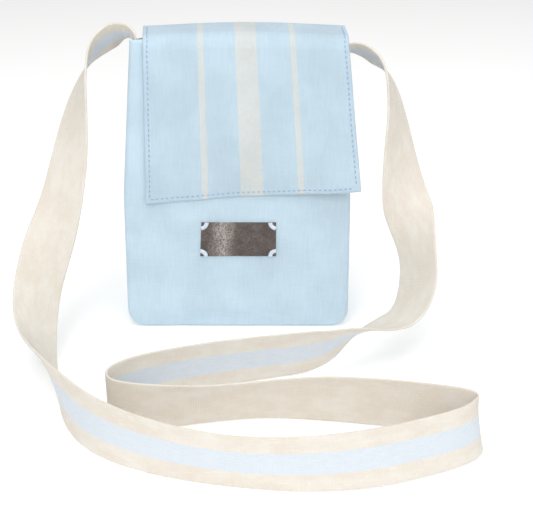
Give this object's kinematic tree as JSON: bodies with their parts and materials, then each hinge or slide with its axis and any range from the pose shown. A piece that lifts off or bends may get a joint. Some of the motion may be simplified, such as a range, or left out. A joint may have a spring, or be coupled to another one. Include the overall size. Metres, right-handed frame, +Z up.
{
  "type": "cross-body pouch",
  "caption": "Flat-bottomed woven canvas cross-body pouch with a fold-over magnetic flap, a leather patch and a long webbing shoulder strap lying in loops.",
  "frame": {"origin": "centre of the body's flat base, on the surface it stands on", "axes": "+Z up, -Y out of the front where the flap hangs, +X to the right seen from the front"},
  "size_m": [0.3385, 0.2995, 0.2426],
  "materials": {
    "canvas": "matte woven cotton canvas, pale blue with ecru stripes",
    "lining": "matte plain cotton",
    "interlining": "matte felt",
    "magnet": "nickel plated",
    "board": "matte",
    "thread": "twisted polyester thread",
    "leather": "pebbled, slight sheen",
    "webbing": "heavy cotton webbing, cream with a pale blue stripe"
  },
  "bodies": {
    "root": {"front_panel": "canvas", "front_interlining": "interlining", "front_lining": "lining", "front_facing": "canvas", "back_panel": "canvas", "back_interlining": "interlining", "back_lining": "lining", "back_facing": "canvas", "gusset": "canvas", "gusset_lining": "lining", "body_magnet": "magnet", "base_board": "board", "flap_root": "canvas", "leather_patch": "leather", "patch_stitches": "thread", "left_strap_end": "webbing", "right_strap_end": "webbing", "left_box_stitch": "thread", "right_box_stitch": "thread", "shoulder_strap": "webbing"},
    "flap_top": {"flap_top_lining": "lining", "flap_top_canvas": "canvas"},
    "flap_front": {"flap_front_lining": "lining", "flap_interlining": "interlining", "flap_front_canvas": "canvas", "flap_magnet": "magnet", "flap_topstitch": "thread"}
  },
  "joints": [
    {"name": "flap_hinge", "type": "hinge", "parent": "root", "child": "flap_top", "pos_m": [0, 0.055, 0.228], "axis": [-1, 0, 0], "range_deg": [0, 262]},
    {"name": "flap_fold", "type": "hinge", "parent": "flap_top", "child": "flap_front", "pos_m": [0, 0.0033, 0.2311], "axis": [-1, 0, 0], "range_deg": [0, 81.5]}
  ],
  "couplings": [
    {"joint": "flap_fold", "follows": "flap_hinge", "ratio": 0.31}
  ]
}
